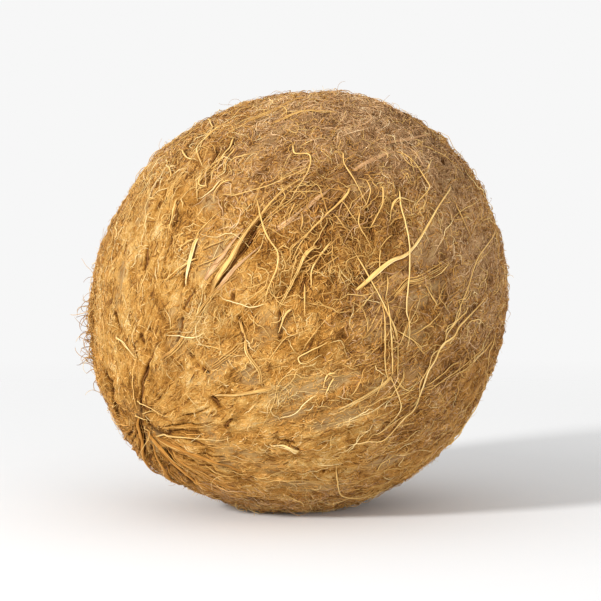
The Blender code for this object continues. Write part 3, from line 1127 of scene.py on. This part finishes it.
# The strands that stand out on the near side: width (mm), tone, lift (mm), and their course in
# shares of the radius right of and above the middle of the nut
STRANDS = (
    (0.55, 0.82, 0.9, ((0.47, 0.54), (0.48, 0.45), (0.52, 0.25), (0.50, -0.01), (0.52, -0.12),
        (0.51, -0.25))),
    (0.42, 0.74, 0.8, ((0.46, 0.72), (0.54, 0.66), (0.60, 0.57), (0.61, 0.53), (0.56, 0.47),
        (0.55, 0.43))),
    (0.50, 0.80, 0.7, ((0.43, 0.43), (0.47, 0.49), (0.56, 0.47))),
    (0.36, 0.66, 0.5, ((0.74, 0.48), (0.77, 0.40), (0.82, 0.30))),
    (0.42, 0.76, 0.8, ((0.93, 0.37), (0.85, 0.22), (0.80, 0.07), (0.75, -0.05), (0.73, -0.10),
        (0.69, -0.12), (0.68, -0.15))),
    (0.55, 0.81, 0.9, ((0.89, 0.01), (0.77, -0.10), (0.72, -0.17), (0.67, -0.21), (0.64, -0.28),
        (0.60, -0.35), (0.54, -0.51), (0.49, -0.56), (0.40, -0.66), (0.31, -0.67), (0.22, -0.70))),
    (0.41, 0.78, 0.8, ((0.82, -0.03), (0.75, -0.09), (0.70, -0.16), (0.68, -0.22), (0.63, -0.26),
        (0.61, -0.32), (0.57, -0.39), (0.56, -0.45), (0.52, -0.52))),
    (0.36, 0.82, 0.8, ((0.76, 0.00), (0.75, -0.07), (0.72, -0.12), (0.69, -0.14), (0.69, -0.17),
        (0.71, -0.18))),
    (0.40, 0.82, 0.7, ((0.44, -0.37), (0.47, -0.46), (0.47, -0.53), (0.37, -0.66))),
    (0.34, 0.79, 0.7, ((0.53, -0.53), (0.38, -0.63), (0.34, -0.65))),
    (0.32, 0.70, 0.5, ((0.60, -0.41), (0.71, -0.32), (0.77, -0.28))),
    (0.32, 0.69, 0.5, ((0.60, -0.43), (0.68, -0.38), (0.83, -0.26), (0.91, -0.18))),
    (0.45, 0.78, 0.7, ((0.25, 0.25), (0.41, -0.05), (0.46, -0.15), (0.46, -0.19))),
    (0.50, 0.78, 0.7, ((0.41, 0.01), (0.44, -0.27), (0.44, -0.37))),
    (0.40, 0.74, 0.7, ((0.39, -0.02), (0.41, -0.31), (0.43, -0.40))),
    (0.34, 0.72, 0.6, ((0.38, 0.00), (0.46, -0.17), (0.47, -0.36), (0.49, -0.42), (0.56, -0.42))),
    (0.34, 0.72, 0.6, ((0.46, -0.14), (0.56, -0.21), (0.59, -0.25))),
    (0.36, 0.72, 0.6, ((0.40, -0.37), (0.38, -0.43), (0.36, -0.47))),
    (0.34, 0.74, 0.5, ((0.29, -0.38), (0.27, -0.42), (0.24, -0.46))),
    (0.45, 0.78, 0.8, ((0.17, -0.79), (0.18, -0.89), (0.21, -0.93), (0.32, -0.93), (0.39, -0.89))),
    (0.28, 0.74, 0.6, ((0.08, -0.37), (0.01, -0.37), (-0.02, -0.35), (-0.07, -0.36), (-0.11, -0.41),
        (-0.14, -0.52), (-0.26, -0.74))),
    (0.60, 0.80, 0.7, ((0.17, -0.35), (0.13, -0.36), (0.11, -0.43))),
    (0.60, 0.82, 0.5, ((0.16, -0.38), (0.14, -0.42), (0.12, -0.46))),
    (0.28, 0.66, 0.3, ((-0.50, 0.16), (-0.42, 0.20), (-0.25, 0.31))),
    (0.28, 0.66, 0.3, ((-0.48, 0.24), (-0.39, 0.28), (-0.29, 0.33))),
    (0.30, 0.74, 0.8, ((-0.39, 0.51), (-0.30, 0.51), (-0.15, 0.55), (0.03, 0.63), (0.05, 0.68))),
    (0.50, 0.74, 0.8, ((-0.04, 0.76), (-0.03, 0.70), (0.04, 0.69), (0.04, 0.62), (-0.06, 0.47))),
    (0.50, 0.74, 0.8, ((0.20, 0.71), (0.22, 0.63), (0.33, 0.43))),
    (0.75, 0.66, 0.7, ((0.24, 0.54), (0.19, 0.47), (-0.06, 0.23))),
    (0.45, 0.66, 0.8, ((0.07, 0.37), (0.00, 0.27), (-0.05, 0.17))),
    (0.50, 0.68, 0.8, ((0.08, 0.26), (0.03, 0.22), (-0.02, 0.13))),
    (0.40, 0.66, 0.9, ((0.01, 0.42), (0.01, 0.38), (0.00, 0.34), (0.03, 0.32))),
    (0.45, 0.66, 0.9, ((0.28, 0.42), (0.28, 0.35), (0.34, 0.26))),
    (0.36, 0.66, 0.8, ((0.19, 0.48), (0.25, 0.40), (0.27, 0.36))),
    (0.60, 0.68, 1.0, ((0.38, 0.54), (0.39, 0.47), (0.33, 0.34))),
    (0.40, 0.66, 0.9, ((0.31, 0.58), (0.33, 0.52), (0.32, 0.47), (0.29, 0.43))),
    (0.36, 0.70, 0.7, ((0.38, 0.25), (0.38, 0.17), (0.39, 0.08))),
    (0.45, 0.68, 0.8, ((0.46, 0.49), (0.44, 0.46), (0.42, 0.37))),
    (0.36, 0.70, 0.6, ((0.42, 0.13), (0.41, 0.04), (0.40, 0.00))),
    (0.40, 0.58, 0.6, ((0.19, 0.22), (0.12, 0.17), (0.07, 0.13))),
    (0.36, 0.64, 0.7, ((0.45, 0.32), (0.41, 0.29), (0.37, 0.24))),
    (0.36, 0.62, 0.8, ((0.15, 0.42), (0.20, 0.36), (0.24, 0.33), (0.25, 0.27))),
    (0.36, 0.60, 0.8, ((-0.02, 0.47), (-0.05, 0.42), (-0.06, 0.37))),
    (0.55, 0.76, 0.6, ((0.15, 0.29), (0.06, 0.16), (0.05, 0.06))),
    (0.55, 0.76, 1.3, ((-0.21, 0.49), (-0.17, 0.33), (-0.11, 0.23), (-0.11, 0.15), (-0.15, 0.06),
        (-0.17, -0.01))),
    (0.70, 0.74, 0.8, ((-0.04, -0.04), (-0.07, -0.07), (-0.11, -0.16))),
    (0.46, 0.80, 0.6, ((0.13, -0.20), (0.01, -0.26), (-0.01, -0.28), (0.02, -0.30), (0.11, -0.26))),
    (0.45, 0.68, 0.5, ((0.02, 0.08), (0.02, -0.01), (0.02, -0.08))),
    (0.50, 0.78, 0.8, ((-0.32, 0.79), (-0.37, 0.69), (-0.43, 0.65))),
    (0.40, 0.72, 0.8, ((-0.31, 0.74), (-0.36, 0.66), (-0.38, 0.62))),
    (0.50, 0.80, 0.9, ((-0.37, 0.84), (-0.48, 0.74), (-0.47, 0.64))),
    (0.45, 0.80, 1.0, ((-0.44, 0.86), (-0.42, 0.83), (-0.43, 0.79))),
    (0.50, 0.80, 0.8, ((-0.56, 0.72), (-0.55, 0.69), (-0.52, 0.67), (-0.49, 0.67))),
    (0.45, 0.76, 0.8, ((-0.33, 0.58), (-0.38, 0.56), (-0.41, 0.53), (-0.42, 0.48))),
    (0.45, 0.74, 0.8, ((-0.58, 0.50), (-0.62, 0.37), (-0.62, 0.33))),
    (0.40, 0.74, 0.8, ((-0.63, 0.65), (-0.62, 0.60), (-0.64, 0.56))),
    (0.45, 0.76, 0.8, ((-0.47, 0.60), (-0.49, 0.56), (-0.46, 0.55), (-0.45, 0.59))),
    (0.45, 0.76, 0.8, ((-0.49, 0.20), (-0.55, 0.17), (-0.66, 0.08))),
    (0.36, 0.72, 0.8, ((-0.51, 0.30), (-0.55, 0.27), (-0.60, 0.23))),
    (0.40, 0.78, 0.6, ((-0.79, -0.48), (-0.74, -0.50), (-0.62, -0.56))),
    (0.34, 0.76, 0.8, ((-0.80, -0.55), (-0.77, -0.57), (-0.73, -0.59))),
    (0.26, 0.72, 0.6, ((-0.77, -0.55), (-0.72, -0.53), (-0.69, -0.53))),
    (0.30, 0.70, 0.7, ((-0.76, -0.61), (-0.74, -0.67), (-0.75, -0.77))),
    (0.28, 0.66, 0.6, ((-0.73, -0.67), (-0.70, -0.71), (-0.56, -0.80), (-0.49, -0.86))),
    (0.36, 0.66, 0.6, ((-0.71, -0.66), (-0.50, -0.75), (-0.38, -0.79))),
    (0.36, 0.66, 0.6, ((-0.46, -0.79), (-0.38, -0.83), (-0.30, -0.84))),
    (0.40, 0.66, 0.5, ((0.53, -0.17), (0.63, -0.10), (0.68, -0.04))),
    (0.40, 0.66, 0.5, ((0.53, -0.18), (0.57, -0.23), (0.61, -0.26))),
    (0.45, 0.66, 0.5, ((0.59, 0.08), (0.64, 0.00), (0.65, -0.03))),
    (0.45, 0.76, 0.6, ((0.46, -0.38), (0.51, -0.43), (0.56, -0.42))),
    (0.40, 0.64, 0.4, ((0.93, -0.18), (0.83, -0.28), (0.69, -0.39))),
    (0.40, 0.76, 0.5, ((0.36, -0.82), (0.40, -0.78), (0.45, -0.75))),
)

# Strands that run side by side: how many, how far apart they spread at their start and end (mm),
# and the rest as above
SHEAVES = (
    (4, 0.8, 1.1, 0.42, 0.68, 0.3, ((0.44, -0.37), (0.37, -0.43), (0.18, -0.53))),
    (3, 1.4, 2.4, 0.30, 0.62, 0.3, ((-0.23, 0.34), (-0.11, 0.45), (0.13, 0.62))),
    (2, 0.5, 0.6, 0.50, 0.70, 0.6, ((0.07, 0.26), (0.02, 0.22), (-0.01, 0.15), (-0.11, -0.05))),
    (2, 0.5, 0.7, 0.50, 0.68, 0.4, ((-0.30, -0.09), (-0.27, -0.17), (-0.26, -0.24), (-0.20, -0.33),
        (-0.19, -0.41))),
    (2, 0.3, 0.3, 0.26, 0.80, 0.5, ((-0.71, -0.66), (-0.61, -0.65), (-0.33, -0.66))),
    (2, 0.2, 0.3, 0.36, 0.84, 0.8, ((-0.88, -0.17), (-0.84, -0.21), (-0.79, -0.28))),
    (5, 1.4, 2.0, 0.35, 0.56, 0.1, ((0.45, 0.02), (0.51, 0.09), (0.58, 0.11), (0.73, 0.20))),
    (4, 1.6, 2.2, 0.24, 0.50, 0.1, ((-0.12, 0.36), (-0.04, 0.42), (0.18, 0.57))),
    (5, 1.2, 1.8, 0.35, 0.54, 0.1, ((-0.67, -0.29), (-0.58, -0.20), (-0.43, 0.02), (-0.31, 0.13))),
    (4, 1.2, 1.6, 0.35, 0.58, 0.1, ((-0.45, -0.34), (-0.33, -0.25), (-0.28, -0.20))),
    (5, 1.2, 1.8, 0.35, 0.58, 0.2, ((-0.28, 0.85), (-0.16, 0.91), (-0.03, 0.96))),
    (2, 0.6, 0.9, 0.40, 0.58, 0.3, ((-0.15, 0.85), (-0.05, 0.89), (0.07, 0.91), (0.18, 0.90))),
)

# Flat slivers, ridges and the stoutest strand: width, depth, tone, lift (mm), how wide each starts
# and how far along it is widest, and its course
BLADES = (
    (1.25, 0.8, 0.86, 0.80, 0.5, 0.12, ((0.27, 0.05), (0.42, 0.18), (0.53, 0.24), (0.66, 0.45),
        (0.73, 0.56))),
    (1.5, 0.5, 0.76, 0.80, 0.4, 0.42, ((-0.43, 0.04), (-0.39, 0.12), (-0.34, 0.19), (-0.26, 0.33),
        (-0.16, 0.44))),
    (0.5, 0.4, 0.70, 0.80, 0.8, 0.20, ((-0.20, 0.39), (-0.10, 0.51), (0.04, 0.60))),
    (0.9, 0.5, 0.93, 0.60, 0.9, 0.20, ((-0.50, 0.30), (-0.54, 0.13), (-0.55, 0.07))),
    (1.0, 0.6, 0.88, 0.50, 0.8, 0.15, ((-0.01, -0.73), (-0.06, -0.70), (-0.15, -0.69))),
    (1.0, 0.4, 0.66, 0.20, 0.7, 0.12, ((-0.14, -0.42), (-0.30, -0.45), (-0.42, -0.46))),
    (1.1, 0.7, 0.48, 0.50, 0.7, 0.40, ((-0.80, -0.58), (-0.77, -0.68), (-0.71, -0.78), (-0.64, -0.85))),
    (1.4, 0.6, 0.46, 0.20, 0.5, 0.40, ((-0.75, -0.64), (-0.68, -0.72), (-0.51, -0.86), (-0.40, -0.92))),
    (1.4, 0.5, 0.46, 0.10, 0.4, 0.40, ((-0.72, -0.65), (-0.45, -0.76), (-0.28, -0.82))),
    (0.8, 0.6, 0.50, 0.20, 0.5, 0.40, ((-0.72, -0.70), (-0.61, -0.85), (-0.56, -0.90))),
    (1.7, 0.2, 0.60, -0.05, 0.6, 0.50, ((-0.46, 0.10), (-0.40, 0.19), (-0.27, 0.35))),
    (1.2, 0.2, 0.58, 0.00, 0.6, 0.40, ((-0.40, 0.05), (-0.34, 0.13), (-0.19, 0.27))),
    (1.5, 0.2, 0.62, -0.05, 0.8, 0.30, ((-0.12, 0.34), (-0.05, 0.39), (0.02, 0.45))),
    (1.1, 0.2, 0.60, -0.05, 0.8, 0.30, ((0.01, 0.43), (0.09, 0.50), (0.18, 0.57))),
    (1.3, 0.2, 0.56, -0.05, 0.7, 0.50, ((0.26, 0.63), (0.36, 0.68), (0.46, 0.72))),
    (1.1, 0.2, 0.52, -0.05, 0.7, 0.50, ((0.40, 0.75), (0.52, 0.78), (0.64, 0.79))),
)


def bridged(courses):
    """Heights of the felt along strands that span its hollows."""
    bed = HEIGHT(courses)
    for _ in range(3):
        bed[:, 1:-1] = np.maximum(bed[:, 1:-1], np.maximum(bed[:, :-2], bed[:, 2:]))
    for _ in range(8):
        bed[:, 1:-1] = 0.25 * bed[:, :-2] + 0.5 * bed[:, 1:-1] + 0.25 * bed[:, 2:]
    return bed


def strand_mesh(name, courses, width, depth, tone, lift, profile, kink, sides, material):
    """A piece of strands over the felt, wavering a little: their courses, and their sizes in metres."""
    rng = np.random.default_rng(190)
    count, steps = courses.shape[:2]
    place = np.linspace(0.0, 1.0, steps)
    waver = np.stack([rough(Grain(60 + i), courses * 16.0, 3) for i in range(3)], -1)
    courses = unit(courses + kink * MM / GIRTH * waver)
    swing = 0.35 * rng.uniform(-1, 1, (count, 1))
    waves = 0.75 + swing * np.sin(9.0 * place + rng.uniform(0, 6.0, (count, 1)))
    arch = lift[:, None] * np.minimum(1.0, 4.0 * np.sin(math.pi * place)) * waves
    profile = profile * (1.0 + 0.22 * rough(Grain(64), courses * 30.0, 2))
    half, half_deep = width[:, None] / 2 * profile, depth[:, None] / 2 * profile
    height = bridged(courses) - HEIGHT(courses) + arch + 0.1 * MM
    tube_mesh(name, surface(courses, height), courses, half, half_deep, tone, sides, material)
    return courses, half


def side_by_side(course, number, start_spread, end_spread, rng):
    """Courses of strands that run together, from the middle one: a number of them, spread in millimetres."""
    side = unit(np.cross(course, np.gradient(course, axis=0)))
    place = np.linspace(0.0, 1.0, len(course))
    where = (np.arange(number) + 0.5) / number - 0.5 + 0.12 * rng.normal(size=number)
    apart = where[:, None] * np.interp(place, [0.0, 1.0], [start_spread, end_spread]) * MM / GIRTH
    return unit(course + side * apart[..., None])


def course_of(knots, steps):
    """Directions along a course given by its knots, as for front()."""
    return unit(spline([front(*knot) for knot in knots], steps))


def loose_strands(loose, dark):
    """The strands that stand out: listed one by one on the near side, scattered on the far side."""
    steps = 44
    rng = np.random.default_rng(180)
    sheaves = []
    for number, start_spread, end_spread, width, tone, lift, knots in SHEAVES:
        for course in side_by_side(course_of(knots, steps), number, start_spread, end_spread, rng):
            own_tone = tone + 0.07 * rng.normal()
            sheaves.append((course, width * rng.uniform(0.75, 0.95), own_tone, lift * rng.uniform(0.8, 1.2)))
    rng = np.random.default_rng(181)
    singles = []
    for course in far_courses(60, (10.0, 42.0), steps, 0.6, 0.8, rng):
        if eye_depth(course).max() < 0.3:
            singles.append((course, rng.uniform(0.3, 0.7), rng.normal(0.76, 0.06), rng.uniform(0.5, 1.1)))
    for width, tone, lift, knots in STRANDS:
        course = course_of(knots, steps)
        singles.append((course, width * rng.uniform(0.75, 0.95), tone, lift * rng.uniform(0.8, 1.2)))
    profile = np.interp(np.linspace(0.0, 1.0, steps), [0.0, 0.12, 0.6, 1.0], [0.55, 1.0, 0.8, 0.25])
    for name, rows, kink in (("bundle", sheaves, 0.16), ("single", singles, 0.18)):
        courses, width, tone, lift = (np.array(column) for column in zip(*rows))
        depth = 0.85 * width * MM
        lain = strand_mesh(
            f"strands_{name}", courses, width * MM, depth, tone, lift * MM, profile, kink, 6, loose
        )
    # The painted shadows run along the single strands, which are laid last
    lay_painted_shadows("strand_shadows", *lain, dark)


def lay_blades(loose, warm, dull):
    """The flat slivers, the ridges at the tip and the films of rubbed felt, with finer fibres along each."""
    rng = np.random.default_rng(185)
    steps = 40
    place = np.linspace(0.0, 1.0, steps)
    blades = [(*size, course_of(knots, steps)) for *size, knots in BLADES]
    for course in far_courses(12, (9.0, 30.0), steps, 0.5, 0.25, rng):
        width, tone, lift = rng.uniform(0.8, 1.6), rng.uniform(0.66, 0.82), rng.uniform(0.2, 0.8)
        blades.append((width, 0.5, tone, lift, 0.5, 0.3, course))
    groups = {"blades": (loose, []), "ridges": (warm, []), "films": (dull, [])}
    for width, depth, tone, lift, blunt, widest, middle in blades:
        profile = np.interp(place, [0.0, widest, 0.5 + 0.5 * widest, 1.0], [blunt, 1.0, 0.5, 0.12])
        fine = max(2, round(width / 0.3))
        side = unit(np.cross(middle, np.gradient(middle, axis=0)))
        where = (np.linspace(-0.42, 0.42, fine) + 0.05 * rng.normal(size=fine))[:, None]
        where = where * profile * width * MM / GIRTH
        rows = groups["films" if depth < 0.3 else "blades" if tone > 0.6 else "ridges"][1]
        rows.append((middle, width, depth, tone - 0.05, lift, profile))
        for course in unit(middle + side * where[..., None]):
            own_tone = tone + 0.11 * rng.normal()
            own_lift = lift + 0.4 * depth * rng.uniform(0.4, 1.4)
            rows.append((course, 0.3 * width / fine + 0.14, 0.24, own_tone, own_lift, profile))
    for name, (material, rows) in groups.items():
        courses, width, depth, tone, lift, profile = (np.array(column) for column in zip(*rows))
        courses, half = strand_mesh(
            name, courses, width * MM, depth * MM, tone, lift * MM, profile, 0.06, 8, material
        )
        raised = (width > 0.45) & (lift > 0.4)
        # Painted shadows along the shaded sides of the raised blades
        if name == "blades":
            lay_painted_shadows("blade_shadows", courses[raised], half[raised], warm)


def lay_painted_shadows(name, courses, half, dark):
    """A painted shadow: a dark strip on the felt along the side of a strand that faces away from the light.
    """
    _, right, up = camera_frame()
    # The side away from the key light, which falls from the upper left: the painted shadow lies there
    away = 0.8 * right - 0.6 * up
    side = unit(np.cross(courses, np.gradient(courses, axis=1)))
    shaded = np.sign(side @ away)[..., None]
    beside = unit(courses + side * shaded * (half[..., None] + 0.14 * MM) / GIRTH)[:, 3:-3]
    # Half width of the painted shadow strip
    gap = np.minimum(0.7 * half + 0.02 * MM, 0.26 * MM)[:, 3:-3]
    tone = np.full(len(courses), SHADE_TONE)
    tube_mesh(name, surface(beside, 0.06 * MM), beside, gap, gap * 0.6, tone, 4, dark)


def lay_split_shade(dark):
    """Painted shade: a dark strip laid at the bottom of each split."""
    steps = 16
    place = np.linspace(0.0, 1.0, steps)
    courses = np.stack([unit(spline(knots, steps)) for _, _, knots in ALL_SPLITS])
    width = np.array([half_width for half_width, _, _ in ALL_SPLITS])[:, None] * MM
    half = width * np.sin(math.pi * (0.06 + 0.88 * place)) * (0.9 + 0.4 * TUFTS(courses * 60.0))
    filled = cleft_depth(courses) * np.clip(1.15 - width / (0.7 * MM), 0.0, 0.85)
    tone = np.full(len(courses), SHADE_TONE)
    tube_mesh("split_shade", surface(courses, filled), courses, half, half * 0.4, tone, 6, dark)


def make_fibres():
    warm = strand_material("coir_warm", WARM_COIR)
    dull = strand_material("coir_dull", DULL_COIR)
    loose = strand_material("coir_loose", LOOSE_COIR)
    lay_mat(warm, dull)
    lay_curls(loose, dull)
    lay_medium(loose, dull)
    lay_combed(loose, warm, dull)
    lay_tangles(loose, dull)
    raise_fuzz(loose)
    loose_strands(loose, warm)
    lay_blades(loose, warm, dull)
    lay_split_shade(warm)


# ---------------------------------------------------------------- floor, light and camera


def make_floor():
    """A pale floor that fades into the background."""
    bpy.ops.mesh.primitive_circle_add(vertices=96, radius=2.0, fill_type="TRIFAN", location=(0.0, 0.0, 0.0))
    floor = bpy.context.object
    floor.name = "floor"
    material, tree, shader = new_material("pale_floor", 0.9, 0.0)
    shader.inputs["Base Color"].default_value = (FLOOR_TONE, FLOOR_TONE, FLOOR_TONE, 1.0)
    place = node(tree, "ShaderNodeTexCoord").outputs["Object"]
    reach = node(tree, "ShaderNodeVectorMath", operation="LENGTH")
    link(tree, place, reach.inputs[0])
    fade = mapped(tree, reach.outputs["Value"], *FLOOR_FADE)
    clear = node(tree, "ShaderNodeBsdfTransparent")
    mix = node(tree, "ShaderNodeMixShader")
    link(tree, fade, mix.inputs[0])
    link(tree, shader.outputs[0], mix.inputs[1])
    link(tree, clear.outputs[0], mix.inputs[2])
    link(tree, mix.outputs[0], tree.nodes["Material Output"].inputs["Surface"])
    floor.data.materials.append(material)


def make_world():
    world = bpy.data.worlds.new("studio")
    bpy.context.scene.world = world
    world.use_nodes = True
    tree = world.node_tree
    shown = tree.nodes["Background"]
    shown.inputs["Color"].default_value = (1.0, 1.0, 1.0, 1.0)
    shown.inputs["Strength"].default_value = SHOWN_GLOW
    lit = node(tree, "ShaderNodeBackground", {"Color": (1.0, 1.0, 1.0, 1.0), "Strength": LIT_GLOW})
    seen = node(tree, "ShaderNodeLightPath").outputs["Is Camera Ray"]
    mix = node(tree, "ShaderNodeMixShader")
    link(tree, seen, mix.inputs[0])
    link(tree, lit.outputs[0], mix.inputs[1])
    link(tree, shown.outputs[0], mix.inputs[2])
    link(tree, mix.outputs[0], tree.nodes["World Output"].inputs["Surface"])


def add_light(name, place, size, power):
    lamp = bpy.data.lights.new(name, "AREA")
    lamp.shape = "DISK"
    lamp.size = size
    lamp.energy = power
    light = bpy.data.objects.new(name, lamp)
    bpy.context.scene.collection.objects.link(light)
    light.location = Vector(place)
    light.rotation_mode = "QUATERNION"
    light.rotation_quaternion = (Vector(CENTRE) - light.location).to_track_quat("-Z", "Y")


def make_lights():
    back, right, _ = camera_frame()
    for name, aside, nearer, higher, size, power in (
        ("key", -1.05, 0.90, 0.50, 0.24, 24.0),
        ("fill", 0.7, 1.1, 0.0, 0.9, 8.0),
    ):
        add_light(name, CENTRE + aside * right + nearer * back + [0.0, 0.0, higher], size, power)


def make_camera():
    back, _, _ = camera_frame()
    camera = bpy.data.objects.new("camera", bpy.data.cameras.new("camera"))
    bpy.context.scene.collection.objects.link(camera)
    camera.data.lens = CAMERA_LENS
    camera.data.sensor_width = SENSOR
    camera.data.clip_start = 0.01
    camera.location = Vector(CENTRE + CAMERA_REACH * back)
    camera.rotation_mode = "QUATERNION"
    camera.rotation_quaternion = Vector(-back).to_track_quat("-Z", "Y")
    bpy.context.scene.camera = camera


make_skin()
make_fibres()
make_floor()
make_world()
make_lights()
make_camera()
bpy.context.scene.view_settings.view_transform = "Standard"
